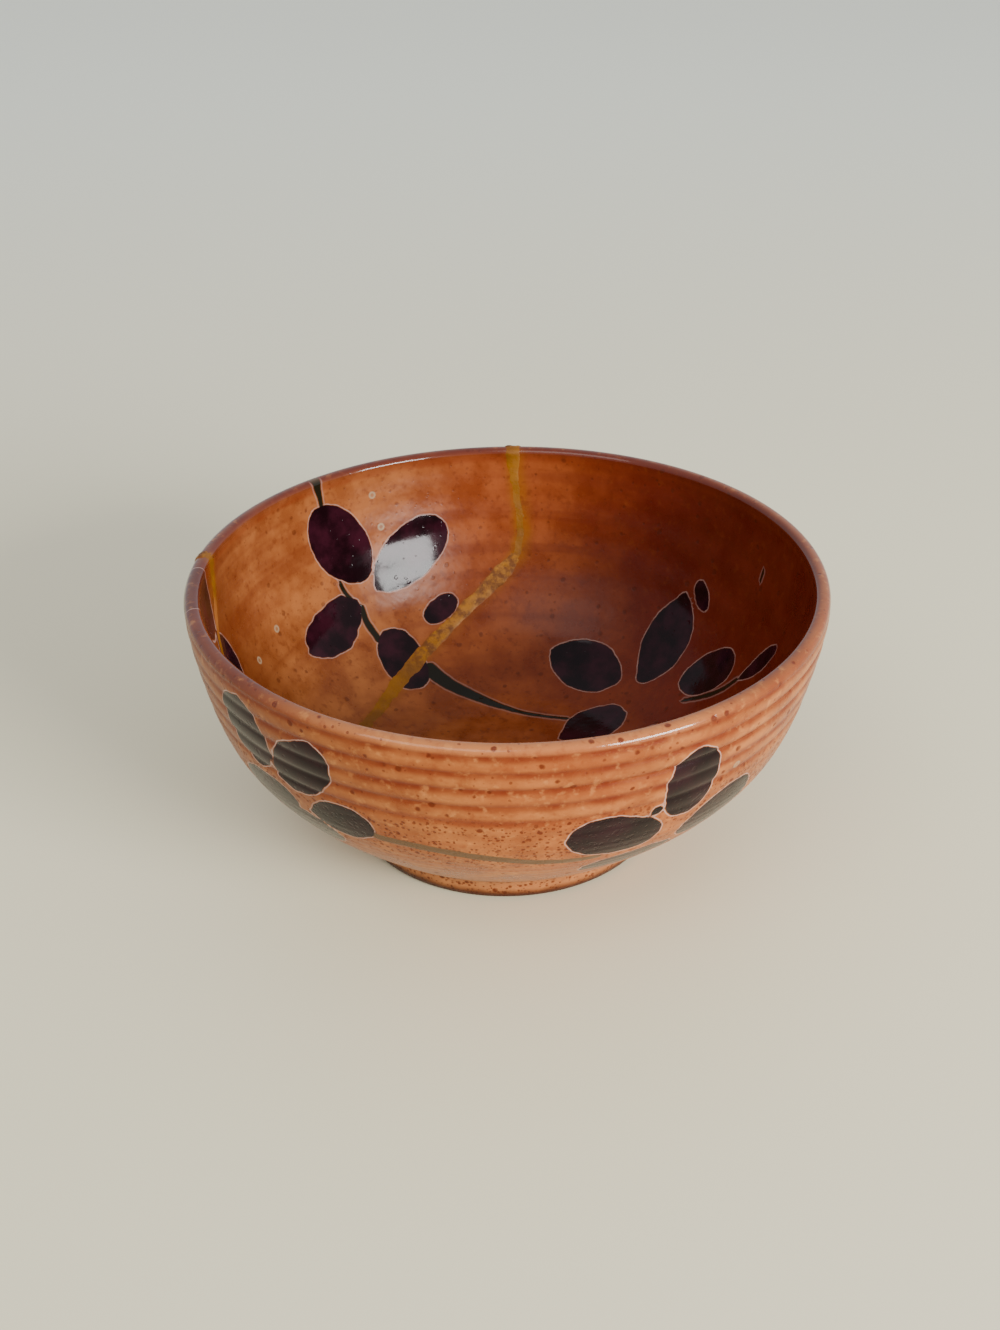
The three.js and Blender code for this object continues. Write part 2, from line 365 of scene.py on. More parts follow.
# ---- the brushed leaves ----
# drop is how far the leaf's middle lies below the top of the lip, along its face. tilt is the way that
# its tip points, in degrees from growing azimuth towards the lip. tip and base are 0.5 for a round end
# and 1 for a pointed one. ragged is how far the edge wavers, as a share of the leaf's size.
Leaf = namedtuple("Leaf", "face azimuth drop length width tilt tip base ragged")
LEAVES = [
    Leaf("in", 130.5, 19.8, 25.2, 16.2, 64, 0.6, 0.56, 0.008),
    Leaf("in", 113.7, 27.7, 26.4, 14.2, 147, 0.42, 0.68, 0.008),
    Leaf("in", 139.8, 40.1, 22.2, 12.8, -12, 0.6, 0.52, 0.035),
    Leaf("in", 124.1, 55.5, 18.6, 12.4, 91, 0.42, 0.42, 0.012),
    Leaf("in", 107.8, 44.0, 10.9, 6.3, 151, 0.48, 0.42, 0.012),
    Leaf("in", 181.6, 25.3, 20.0, 10.6, 87, 0.95, 0.92, 0.012),
    Leaf("in", 61.5, 59.6, 22.2, 15.0, 9, 0.74, 0.61, 0.012),
    Leaf("in", 40.8, 44.7, 26.8, 13.8, 88, 0.95, 0.74, 0.014),
    Leaf("in", 36.5, 30.2, 8.4, 4.3, 48, 0.42, 0.51, 0.015),
    Leaf("in", 21.8, 45.6, 18.2, 11.2, 121, 0.44, 0.52, 0.012),
    Leaf("in", 40.9, 76.6, 19.8, 12.1, 104, 0.53, 0.95, 0.02),
    Leaf("in", 12.0, 66.8, 17.0, 11.8, 137, 0.91, 0.87, 0.015),
    Leaf("in", 7.1, 33.2, 16.8, 4.6, 117, 0.45, 0.9, 0.02),
    Leaf("in", 185.4, 0.6, 20.5, 11.1, 5, 0.62, 0.42, 0.015),
    Leaf("out", 219.5, 14.2, 18.6, 14.2, 118, 0.42, 0.42, 0.02),
    Leaf("out", 232.4, 17.1, 20.5, 13.5, 41, 0.42, 0.79, 0.025),
    Leaf("out", 238.7, 29.8, 16.7, 11.3, 7, 0.42, 0.95, 0.01),
    Leaf("out", 221.1, 31.7, 18.8, 12.9, 188, 0.42, 0.61, 0.015),
    Leaf("out", 228.5, 38.8, 18.4, 13.4, 176, 0.51, 0.55, 0.015),
    Leaf("out", 302.0, 18.9, 19.4, 13.2, 86, 0.42, 0.42, 0.02),
    Leaf("out", 311.8, 34.5, 20.6, 15.0, 24, 0.42, 0.6, 0.012),
    Leaf("out", 288.8, 30.5, 21.9, 13.6, -16, 0.42, 0.42, 0.012),
    Leaf("out", 294.6, 45.6, 20.8, 10.2, 9, 0.42, 0.43, 0.015),
    Leaf("out", 295.7, 24.5, 3.2, 2.5, 32, 0.56, 0.8, 0.02),
    # The back: a spray of three on the right, and two leaves on the left.
    Leaf("out", 24, 17.0, 20.5, 12.5, 72, 0.5, 0.6, 0.015),
    Leaf("out", 35, 29.0, 21.0, 12.5, 20, 0.6, 0.55, 0.012),
    Leaf("out", 16, 33.0, 18.5, 11.5, 168, 0.5, 0.6, 0.015),
    Leaf("out", 142, 24.0, 19.5, 12.0, 118, 0.5, 0.6, 0.015),
    Leaf("out", 151, 38.0, 19.0, 11.5, 35, 0.6, 0.55, 0.015),
]
# A stem's points are (azimuth, drop, width).
Stem = namedtuple("Stem", "face points")
STEMS = [
    Stem("in", [(133.3, -1.0, 2.9), (133.4, 1.0, 2.8), (133.4, 3.5, 2.1), (133.1, 5.7, 1.6),
                (133.1, 8.8, 1.3)]),
    Stem("in", [(133.1, 29.5, 1.2), (132.4, 33.0, 1.3), (131.5, 35.2, 1.5)]),
    Stem("in", [(129.3, 37.6, 1.6), (129.5, 42.0, 1.9), (128.8, 45.8, 2.0), (128.1, 48.6, 2.0)]),
    Stem("in", [(117.6, 59.5, 4.4), (114.6, 63.9, 4.1), (110.6, 67.9, 3.7), (101.7, 73.3, 2.9),
                (91.5, 77.0, 1.8), (79.0, 79.2, 1.2), (64.6, 79.1, 1.0), (54.5, 77.8, 1.0)]),
    Stem("in", [(22.2, 55.6, 1.0), (17.8, 51.5, 1.3), (14.1, 47.1, 1.3), (10.9, 40.2, 1.0)]),
    Stem("in", [(20.7, 18.1, 0.8), (20.8, 14.7, 0.9)]),
    Stem("out", [(245.3, 31.0, 2.0), (246.5, 31.9, 2.2), (252.8, 32.2, 2.4), (258.9, 33.1, 2.5),
                 (264.8, 34.3, 2.6), (270.7, 35.9, 2.6), (276.9, 37.5, 2.5), (283.2, 38.3, 2.4),
                 (287.0, 38.2, 2.0)]),
    Stem("out", [(142, 32, 2.3), (132, 40, 2.2), (112, 43, 2.2), (80, 41, 2.4), (50, 38, 2.3),
                 (22, 30, 2.2)]),
]
# Drops of the same colour, each in a pale ring.
DROPS = [
    ("in", 120.3, 9.5), ("in", 119.3, 18.6), ("in", 156.6, 31.4), ("in", 168.4, 33.4),
    ("out", 312.2, 20.1),
]
FAR = 20.0  # stands for a distance too great to matter


def leaf_outline(leaf, seed):
    """The leaf's edge, flat, in millimetres, with its tip towards +x."""
    turn = np.linspace(0, 2 * pi, 96, endpoint=False)
    x = np.cos(turn)
    power = np.where(x > 0, leaf.tip, leaf.base)
    y = np.sign(np.sin(turn)) * np.abs(1 - x**2) ** power
    chance = np.random.RandomState(seed)
    waver = np.zeros_like(turn)
    for waves, share in ((2, 0.8), (3, 1.0), (5, 0.8), (8, 0.6), (13, 0.45), (19, 0.3)):
        waver += share * np.sin(waves * turn + chance.uniform(0, 2 * pi))
    grow = 1 + leaf.ragged * waver
    return np.column_stack([x * leaf.length / 2 * grow, y * leaf.width / 2 * grow])


def polygon_distance(points, corners):
    """Signed distance from flat points to a polygon: negative inside."""
    gap = line_distance(points, corners)
    within = inside_polygon(points[:, 0], points[:, 1], corners)
    return np.where(within, -gap, gap)


def facing(face, along):
    """Which places lie on a face of the wall, or just over the lip from it."""
    return along < LIP_TOP + 3 if face == "out" else along > LIP_TOP - 3


def leaf_distance(points, along):
    """Signed distance to the nearest leaf's edge."""
    result = np.full(len(points), 9.0)
    for seed, leaf in enumerate(LEAVES):
        place = along_of(leaf.face, leaf.drop)
        middle, normal = surface(leaf.azimuth, place)
        angle = radians(leaf.azimuth)
        sideways = np.array([-sin(angle), cos(angle), 0])
        upward = np.cross(normal, sideways) * (1 if leaf.face == "out" else -1)
        offset = points - middle
        flat = np.column_stack([offset @ sideways, offset @ upward])
        reach = leaf.length / 2 + 6
        near = (np.linalg.norm(offset, axis=1) < reach) & (np.abs(along - place) < reach + 3)
        near &= facing(leaf.face, along)
        tilt = radians(leaf.tilt)
        turn = np.array([[cos(tilt), -sin(tilt)], [sin(tilt), cos(tilt)]])
        corners = leaf_outline(leaf, seed) @ turn.T
        result[near] = np.minimum(result[near], polygon_distance(flat[near], corners))
    return result


def stem_places(points, along):
    """How far each point is to one side of the nearest stem, and the stem's half width there."""
    side = np.full(len(points), FAR)
    half = np.full(len(points), -FAR)
    for stem in STEMS:
        line = spline(stem.points, 14 * len(stem.points))
        place = along_of(stem.face, line[:, 1])
        middle, normal = surface(line[:, 0], place)
        near = np.flatnonzero(facing(stem.face, along) & boxed(points, middle, 6))
        gap = points[near][:, None, :] - middle[None, :, :]
        closest = np.argmin(np.einsum("ijk,ijk->ij", gap, gap), axis=1)
        closest = np.clip(closest, 1, len(line) - 2)
        forward = middle[closest + 1] - middle[closest - 1]
        forward /= np.linalg.norm(forward, axis=1)[:, None]
        sideways = np.cross(normal[closest], forward)
        offset = points[near] - middle[closest]
        across = np.einsum("ij,ij->i", offset, sideways)
        ahead = np.einsum("ij,ij->i", offset, forward)
        distance = np.linalg.norm(offset, axis=1)
        past_end = (closest == 1) & (ahead < 0) | (closest == len(line) - 2) & (ahead > 0)
        width = line[closest, 2] / 2 - np.where(past_end, np.abs(ahead), 0)
        width -= 3 * np.maximum(distance - 3.5, 0)
        better = distance < np.abs(side[near])
        side[near[better]] = np.where(across < 0, -distance, distance)[better]
        half[near[better]] = width[better]
    return side, half


# ---- the grid of the whole bowl ----
def row_places():
    """Places along the outline for the rows of the mesh, closer together where there is more to show."""
    ring_height = LOWEST_GROOVE_HEIGHT - 3
    ring_along = np.interp(ring_height, EVEN_HEIGHT[ON_OUTER_WALL], EVEN_ALONG[ON_OUTER_WALL])
    stretches = [
        (0, WALL_START, FOOT_STEP),
        (WALL_START, ring_along, PLAIN_STEP),
        (ring_along, LIP_START, RING_STEP),
        (LIP_START, INSIDE_START, LIP_STEP),
        (INSIDE_START, OUTLINE_END, INSIDE_STEP),
    ]
    rows = []
    for start, end, step in stretches:
        rows.append(np.linspace(start, end, max(int((end - start) / step), 2), endpoint=False))
    return np.concatenate(rows)[1:]


ROWS = row_places()
FOOT_CORNER = float(EVEN_ALONG[np.argmax((EVEN_RADIUS > FOOT_RADIUS - 2) & (EVEN_HEIGHT > 0.35))])
GRID_AZIMUTH = np.tile(np.arange(COLUMNS) * 360 / COLUMNS, len(ROWS))
GRID_ALONG = np.repeat(ROWS, COLUMNS)
GRID_POINTS, GRID_NORMALS = surface(GRID_AZIMUTH, GRID_ALONG)

def grid_values():
    """What each vertex carries, by name: three values for the mesh, and the rest for the materials."""
    height = at(GRID_ALONG, EVEN_HEIGHT)
    outside = (GRID_ALONG > WALL_START) & (GRID_ALONG < LIP_TOP)
    split, share = break_distance(GRID_AZIMUTH, GRID_ALONG, GRID_POINTS)
    leaf = leaf_distance(GRID_POINTS, GRID_ALONG)
    stem_side, stem_half = stem_places(GRID_POINTS, GRID_ALONG)
    distance, _ = groove_distance(GRID_AZIMUTH, height)
    ringed = 0.15 + 0.85 * eased(height, PITTED_TOP - 4, PITTED_TOP + 4)
    ringed *= eased(height, LOWEST_GROOVE_HEIGHT - 3, LOWEST_GROOVE_HEIGHT + 1)
    groove = np.where(outside, (1 - eased(distance, 0.2, 1.9)) * ringed, 0)
    under_lip = np.exp(-((GRID_ALONG - INSIDE_START - 0.6) / 0.8) ** 2)
    groove = np.maximum(groove, 0.8 * under_lip)
    inside = eased(GRID_ALONG, LIP_TOP - 0.5, LIP_TOP + 2)
    lip = 1 - eased(np.abs(GRID_ALONG - LIP_TOP), 1.2, 3.6)
    bare = 1 - eased(GRID_ALONG, FOOT_CORNER - 2.6, FOOT_CORNER - 1.2)
    foot = eased(GRID_ALONG, FOOT_CORNER - 2.0, FOOT_CORNER - 1.0)
    foot *= (1 - eased(height, 5.5, 8.5)) * (1 - inside)
    stain = stain_near(split, share, inside)
    return {
        "azimuth": GRID_AZIMUTH, "along": GRID_ALONG, "split": split,
        "leaf": leaf, "stem_side": stem_side, "stem_half": stem_half, "groove": groove, "inside": inside,
        "lip": lip, "foot": foot, "bare": bare, "stain": stain, "broken": np.zeros_like(height),
    }


CARRIED = grid_values()
NAMES = list(CARRIED)
FIRST_MATERIAL_NAME = NAMES.index("leaf")
GRID_VALUES = np.column_stack(list(CARRIED.values()))


def quads_between(rows, columns, closed=False):
    """The quads between rings of vertices. Closed joins the last ring to the first."""
    row, column = np.meshgrid(np.arange(rows if closed else rows - 1), np.arange(columns), indexing="ij")
    ahead = (row + 1) % rows
    following = (column + 1) % columns
    corners = [(row, column), (row, following), (ahead, following), (ahead, column)]
    return np.stack([ring * columns + place for ring, place in corners], -1).reshape(-1, 4)


# Each vertex is one row: its place, its normal and what it carries.
GRID = np.hstack([GRID_POINTS, GRID_NORMALS, GRID_VALUES])
GRID_QUADS = quads_between(len(ROWS), COLUMNS)


def middle_fans():
    """The two middles, under the foot and inside, each joined to the nearest row by triangles."""
    points, normals = surface(np.zeros(2), np.array([0, OUTLINE_END]))
    points[:, 0] = GRID_POINTS[:COLUMNS, 0].mean(), GRID_POINTS[-COLUMNS:, 0].mean()
    values = np.stack([GRID_VALUES[:COLUMNS].mean(0), GRID_VALUES[-COLUMNS:].mean(0)])
    first = len(GRID)
    last_row = (len(ROWS) - 1) * COLUMNS
    triangles = []
    for column in range(COLUMNS):
        following = (column + 1) % COLUMNS
        triangles.append((first, following, column))
        triangles.append((first + 1, last_row + column, last_row + following))
    return np.hstack([points, normals, values]), triangles


def cut_bowl(keep_shard):
    """The part of the bowl on one side of the break, with its broken edge."""
    middles, fans = middle_fans()
    vertices = list(np.vstack([GRID, middles]))
    split = GRID_VALUES[:, NAMES.index("split")]
    depth = split * (-1 if keep_shard else 1) - EDGE_BACK
    kept = depth[GRID_QUADS] > 0
    whole = kept.all(1)
    faces = GRID_QUADS[whole].tolist()
    if not keep_shard:
        faces += [list(fan) for fan in fans]
    made = {}
    edges = []

    def crossing(a, b):
        """The vertex where the edge from a to b meets the cut."""
        key = (min(a, b), max(a, b))
        if key not in made:
            low, high = key
            share = depth[low] / (depth[low] - depth[high])
            made[key] = len(vertices)
            vertices.append(vertices[low] + (vertices[high] - vertices[low]) * share)
        return made[key]

    for quad in GRID_QUADS[kept.any(1) & ~whole].tolist():
        face = []
        cut = []
        for a, b in zip(quad, quad[1:] + quad[:1]):
            if depth[a] > 0:
                face.append(a)
            if (depth[a] > 0) != (depth[b] > 0):
                vertex = crossing(a, b)
                face.append(vertex)
                cut.append(vertex)
        faces.append(face)
        if len(cut) == 2:
            first, second = cut
            # The cut edge runs from where the face leaves the clay to where it comes back.
            order = face.index(second) - face.index(first)
            edges.append((first, second) if order == 1 else (second, first))
    add_broken_edge(vertices, faces, edges)
    return tidy(np.array(vertices), faces)


def add_broken_edge(vertices, faces, edges):
    """The rough clay of the broken edge, from the glaze to the middle of the wall."""
    inner_points, _ = surface(BREAK_AZIMUTH, BREAK_INNER)
    outer_points, _ = surface(BREAK_AZIMUTH, BREAK_OUTER)
    middles = (inner_points + outer_points) / 2
    shares = np.linspace(0, 1, len(middles))
    copies = {}
    for vertex in sorted({vertex for edge in edges for vertex in edge}):
        point, normal, carried = np.split(vertices[vertex], [3, 6])
        nearest = np.argmin(((LOOP_POINTS - point) ** 2).sum(1))
        share = BREAK_LOOP[nearest, 2]
        middle = np.array([np.interp(share, shares, middles[:, axis]) for axis in range(3)])
        aside = point - LOOP_POINTS[nearest]
        aside -= normal * (aside @ normal)
        carried = carried.copy()
        carried[NAMES.index("broken")] = 1
        copies[vertex] = len(vertices), len(vertices) + 1
        for target in (point, middle + aside):
            vertices.append(np.concatenate([target, normal, carried]))
    for a, b in edges:
        faces.append([copies[b][0], copies[a][0], copies[a][1], copies[b][1]])


def tidy(vertices, faces):
    """The points and values of the vertices that the faces use, and the faces renumbered to match."""
    used = np.unique(np.concatenate(faces))
    renumbered = np.full(len(vertices), -1)
    renumbered[used] = np.arange(len(used))
    faces = [[int(renumbered[vertex]) for vertex in face] for face in faces]
    return vertices[used, :3], vertices[used, 6:], faces


def add_object(name, data):
    added = bpy.data.objects.new(name, data)
    bpy.context.scene.collection.objects.link(added)
    return added


def make_mesh(name, points, faces):
    mesh = bpy.data.meshes.new(name)
    mesh.from_pydata((points * MM).tolist(), [], faces)
    mesh.update()
    mesh.shade_smooth()
    return add_object(name, mesh)


def add_values(piece, names, values):
    for name, column in zip(names, values.T):
        attribute = piece.data.attributes.new(name, "FLOAT", "POINT")
        attribute.data.foreach_set("value", np.ascontiguousarray(column, dtype=np.float32))


def numbers_of(items, name):
    numbers = np.zeros(len(items), int)
    items.foreach_get(name, numbers)
    return numbers


def add_uv(piece, across, down):
    """A map with the azimuth across and the outline down, each filling the square."""
    mesh = piece.data
    loops = numbers_of(mesh.loops, "vertex_index")
    starts = numbers_of(mesh.polygons, "loop_start")
    sizes = numbers_of(mesh.polygons, "loop_total")
    u = across[loops]
    wide = np.maximum.reduceat(u, starts) - np.minimum.reduceat(u, starts) > 180
    u = np.where(np.repeat(wide, sizes) & (u < 180), u + 360, u)
    v = down[loops]
    u = (u - u.min()) / (u.max() - u.min())
    v = (v - v.min()) / (v.max() - v.min())
    layer = mesh.uv_layers.new(name="OFBake")
    layer.data.foreach_set("uv", (np.column_stack([u, v]) * 0.98 + 0.01).ravel())


# ---- the gold ----
def seam_line():
    """The closed line of the gold at even steps: azimuth, place along the outline, share of the break."""
    loop = np.vstack([BREAK_LOOP, BREAK_LOOP[:1]])
    points, _ = surface(*loop[:, :2].T)
    along = lengths_along(points)
    count = int(along[-1] / SEAM_STEP)
    steps = np.linspace(0, along[-1], count, endpoint=False)
    line = np.column_stack([np.interp(steps, along, loop[:, column]) for column in range(3)])
    for _ in range(3):
        line[:, :2] = (np.roll(line[:, :2], 1, 0) + line[:, :2] * 2 + np.roll(line[:, :2], -1, 0)) / 4
    return line


# The gold inside, by share of the break from the back rim: its width and how high it stands, in
# millimetres, and its body, from 0 where it is worn to a stain to 1 where it is thick.
INSIDE_WIDTH = [
    (0, 4.2), (0.025, 3.4), (0.06, 3.4), (0.15, 4.0), (0.19, 4.7), (0.225, 5.2), (0.26, 4.5),
    (0.31, 3.8), (0.38, 4.6), (0.44, 4.6), (0.5, 3.6), (0.56, 3.2), (0.84, 3.2), (0.9, 2.5),
    (0.97, 3.2), (1, 4.2),
]
INSIDE_CROWN = [
    (0, 0.24), (0.05, 0.1), (0.17, 0.1), (0.22, 0.3), (0.36, 0.3), (0.45, 0.2), (0.56, 0.12), (1, 0.14),
]
INSIDE_BODY = [
    (0, 0.5), (0.04, 0.3), (0.12, 0.35), (0.155, 0.5), (0.19, 0.95), (0.24, 1), (0.34, 1),
    (0.4, 0.55), (0.46, 0.4), (0.52, 0.3), (0.57, 0.4), (0.64, 0.65), (0.82, 0.65), (0.9, 0.1),
    (0.93, 0.0), (0.97, 0.35), (1, 0.5),
]
OUTSIDE_WIDTH = 3.0
OUTSIDE_CROWN = 0.38
LIP_WIDTH = 4.4
FEATHER = 0.1  # the edges of the gold lie this far under the glaze
RIDGE = [-1, -0.86, -0.62, -0.32, 0, 0.32, 0.62, 0.86, 1]  # corners across it, by half widths
ROOT = [(EDGE_BACK - 0.15, -1.9), (0.0, -2.0), (0.15 - EDGE_BACK, -1.9)]  # aside, and height


def seam_corners(along, share):
    """Each corner of the gold's cross-section: how far aside and how high it is at each step."""
    count = len(along)
    inside = along > LIP_TOP
    width = np.where(inside, looked_up(share, INSIDE_WIDTH), OUTSIDE_WIDTH)
    crown = np.where(inside, looked_up(share, INSIDE_CROWN), OUTSIDE_CROWN)
    over_lip = 1 - eased(np.abs(along - LIP_TOP), 2, 7)
    width = width * (1 - over_lip) + LIP_WIDTH * over_lip
    left_wave = wavering(count, 5, 0.9, 11.3) + wavering(count, 1.7, 0.5, 17.9)
    right_wave = wavering(count, 5, 0.9, 23.7) + wavering(count, 1.7, 0.5, 29.1)
    corners = []
    for place in RIDGE:
        half = width / 2 + (left_wave if place > 0 else right_wave) * 0.55
        aside = np.maximum(half, EDGE_BACK + 0.35) * place
        corners.append((aside, crown * (1 - place**4) - FEATHER))
    for aside, rise in ROOT:
        corners.append((np.full(count, aside), np.full(count, rise)))
    return corners


def lumpy(rise, points):
    """The ridge's height with the lumps of the lacquer on it, fading out towards its edges."""
    lumps = []
    for point in points:
        lumps.append(0.2 * noise.noise(Vector(point) / 1.9) + 0.12 * noise.noise(Vector(point) / 0.8))
    return rise + np.array(lumps) * np.clip((rise + FEATHER) / 0.4, 0, 1.3)


def seam_mesh():
    """A lumpy ridge of lacquer on both faces, its edges under the glaze and its root in the joint."""
    azimuth, along, share = seam_line().T
    count = len(along)
    radius = at(along, EVEN_RADIUS)
    turned = np.radians(np.roll(azimuth, -1) - np.roll(azimuth, 1)) * radius
    ahead = np.column_stack([turned, np.roll(along, -1) - np.roll(along, 1)])
    ahead /= np.linalg.norm(ahead, axis=1)[:, None]
    layers = []
    for index, (aside, rise) in enumerate(seam_corners(along, share)):
        corner_azimuth = azimuth + np.degrees(-ahead[:, 1] * aside / np.maximum(radius, 5))
        flat, normal = surface(corner_azimuth, along + ahead[:, 0] * aside)
        if index < len(RIDGE):
            rise = lumpy(rise, flat)
        layers.append(flat + normal * rise[:, None])
    points = np.stack(layers, 1).reshape(-1, 3)
    around = len(layers)
    faces = quads_between(count, around, closed=True).tolist()
    across = [abs(place) for place in RIDGE] + [0] * len(ROOT)
    body = np.where(along > LIP_TOP, looked_up(share, INSIDE_BODY), 1.0)
    values = np.column_stack([
        np.tile(np.array(across), count), np.repeat(body, around),
        np.repeat(np.arange(count) * 360 / count, around), np.tile(np.arange(around), count),
    ])
    return points, faces, values


# ---- materials ----
def paint(*channels):
    """A colour as seen on a screen, red, green and blue from 0 to 255, made linear."""
    shares = [channel / 255 for channel in channels]
    return (*[((share + 0.055) / 1.055) ** 2.4 if share > 0.04 else share / 12.92 for share in shares], 1)


class Shader:
    """A node material, built one value at a time. Lengths in its patterns are millimetres."""

    def __init__(self, name):
        self.material = bpy.data.materials.new(name)
        self.material.use_nodes = True
        self.tree = self.material.node_tree
        self.surface = self.tree.nodes["Principled BSDF"]
        inputs = {0: self.add("ShaderNodeTexCoord", {}).outputs["Object"], "Scale": 1 / MM}
        self.place = self.add("ShaderNodeVectorMath", inputs, operation="SCALE").outputs["Vector"]

    def add(self, kind, inputs, **settings):
        node = self.tree.nodes.new(kind)
        for name, value in settings.items():
            setattr(node, name, value)
        for name, value in inputs.items():
            self.feed(node.inputs[name], value)
        return node

    def feed(self, socket, value):
        if isinstance(value, bpy.types.NodeSocket):
            self.tree.links.new(value, socket)
        else:
            socket.default_value = value

    def put(self, name, value):
        """Sets or links one socket of the surface."""
        self.feed(self.surface.inputs[name], value)

    def math(self, operation, first, *others):
        """The first number, joined with each of the others in turn."""
        for other in others:
            first = self.add("ShaderNodeMath", {0: first, 1: other}, operation=operation).outputs[0]
        return first

    def sum(self, *numbers):
        return self.math("ADD", *numbers)

    def product(self, *numbers):
        return self.math("MULTIPLY", *numbers)

    def most(self, *numbers):
        return self.math("MAXIMUM", *numbers)

    def vector(self, operation, *inputs, output="Vector"):
        inputs = dict(enumerate(inputs))
        return self.add("ShaderNodeVectorMath", inputs, operation=operation).outputs[output]

    def rest(self, value):
        """What the value leaves of 1."""
        return self.math("SUBTRACT", 1.0, value)

    def swing(self, noise, size):
        """Noise from 0 to 1, moved to lie about 0 and made as wide as size."""
        return self.product(self.math("SUBTRACT", noise, 0.5), size)

    def value(self, name):
        """A number that the mesh carries at each vertex."""
        return self.add("ShaderNodeAttribute", {}, attribute_name=name).outputs["Fac"]

    def step(self, value, low, high, start=0.0, end=1.0):
        """Eases from start to end while value goes from low to high."""
        inputs = {0: value, 1: low, 2: high, 3: start, 4: end}
        return self.add("ShaderNodeMapRange", inputs, interpolation_type="SMOOTHSTEP").outputs[0]

    def mix(self, share, first, second):
        """A colour between two, by share. Those given as three channels are as seen on a screen."""
        inputs = {0: share}
        for socket, colour in ((6, first), (7, second)):
            inputs[socket] = paint(*colour) if isinstance(colour, tuple) else colour
        return self.add("ShaderNodeMix", inputs, data_type="RGBA").outputs[2]

    def blend(self, share, first, second):
        """A number between two, by share."""
        return self.add("ShaderNodeMix", {0: share, 2: first, 3: second}, data_type="FLOAT").outputs[0]

    def noise(self, size, detail=3.0, roughness=0.55, place=None):
        """Cloudy noise from 0 to 1 whose lumps are about size millimetres."""
        place = place or self.place
        inputs = {"Vector": place, "Scale": 0.6 / size, "Detail": detail, "Roughness": roughness}
        return self.add("ShaderNodeTexNoise", inputs).outputs[0]

    def bent_place(self, size, amount):
        """The place, pushed about by noise, to make round marks ragged."""
        inputs = {"Vector": self.place, "Scale": 0.6 / size, "Detail": 2.0}
        colour = self.add("ShaderNodeTexNoise", inputs).outputs[1]
        centred = self.vector("SUBTRACT", colour, (0.5, 0.5, 0.5))
        return self.vector("MULTIPLY_ADD", centred, (2 * amount,) * 3, self.place)

    def specks(self, spacing, smallest, largest, share, place=None):
        """Round marks scattered about spacing millimetres apart: 1 on a mark, 0 off it."""
        inputs = {"Vector": place or self.place, "Scale": 1 / spacing}
        cells = self.add("ShaderNodeTexVoronoi", inputs)
        distance = self.product(cells.outputs["Distance"], spacing)
        chance = self.add("ShaderNodeSeparateColor", {0: cells.outputs["Color"]}).outputs[0]
        size = self.step(chance, 1 - share, 1.0, smallest, largest)
        present = self.math("GREATER_THAN", chance, 1 - share)
        mark = self.step(distance, self.product(size, 0.55), size, 1.0, 0.0)
        return self.product(mark, present)

    def nearest(self, points):
        """Distance to the nearest of a few fixed places."""
        gaps = [self.vector("DISTANCE", self.place, tuple(point), output="Value") for point in points]
        return self.math("MINIMUM", *gaps)

    def finish(self, colour, roughness, heights):
        """heights are (height from 0 to 1, how many millimetres that is)."""
        self.put("Base Color", colour)
        self.put("Roughness", roughness)
        below = {}
        for height, depth in heights:
            inputs = {"Height": height, "Distance": depth * MM, "Strength": 1.0, **below}
            below = {"Normal": self.add("ShaderNodeBump", inputs).outputs["Normal"]}
        self.put("Normal", below["Normal"])
        return self.material


class GlazeShader(Shader):
    """With what the layers of the glaze share."""

    def __init__(self, name):
        super().__init__(name)
        self.inside = self.value("inside")
        self.lip = self.value("lip")
        self.foot = self.value("foot")
        self.cloud = self.noise(26)
        self.mottle = self.noise(5, 4)
        self.grain = self.noise(1.1)
        self.fine = self.noise(0.45, 2)
        self.ragged = self.bent_place(1.2, 0.35)
        self.across, self.depth, self.height = self.add("ShaderNodeSeparateXYZ", {0: self.place}).outputs


def ground_glaze(s):
    """The ground: orange-brown outside; inside, painted light and shade, lit gold-orange on the left and
    shaded dark red on the right.
    """
    side = s.sum(s.across, s.swing(s.cloud, 40.0))
    outer = s.mix(s.step(s.mottle, 0.35, 0.68), (138, 76, 36), (168, 102, 52))
    outer = s.mix(s.step(s.cloud, 0.45, 0.7, 0, 0.35), outer, (148, 72, 32))
    # Painted shade: the outside is darker on the left, away from the window lamp.
    outer = s.mix(s.step(side, -50, -5, 0.5, 0), outer, (118, 62, 30))
    # Painted light and shade inside: the left wall, facing the window lamp, is lit gold-orange, the
    # middle is brown and the right wall is shaded dark red. The mottled patches are the glaze's own.
    patches = s.step(s.mottle, 0.3, 0.7)
    lit_golden = s.mix(patches, (118, 62, 28), (146, 86, 44))
    brown = s.mix(patches, (112, 48, 18), (134, 66, 30))
    shaded_dark_red = s.mix(patches, (86, 20, 6), (98, 30, 10))
    inner = s.mix(s.step(side, -46, 8), lit_golden, brown)
    inner = s.mix(s.step(side, 2, 48), inner, shaded_dark_red)
    # Painted shadow: the near wall shades the inside at the front.
    near_wall_shadow = s.step(s.sum(s.depth, s.product(side, 0.6)), -42, -8, 0.8, 0)
    inner = s.mix(near_wall_shadow, inner, (84, 34, 8))
    return s.mix(s.inside, outer, inner)


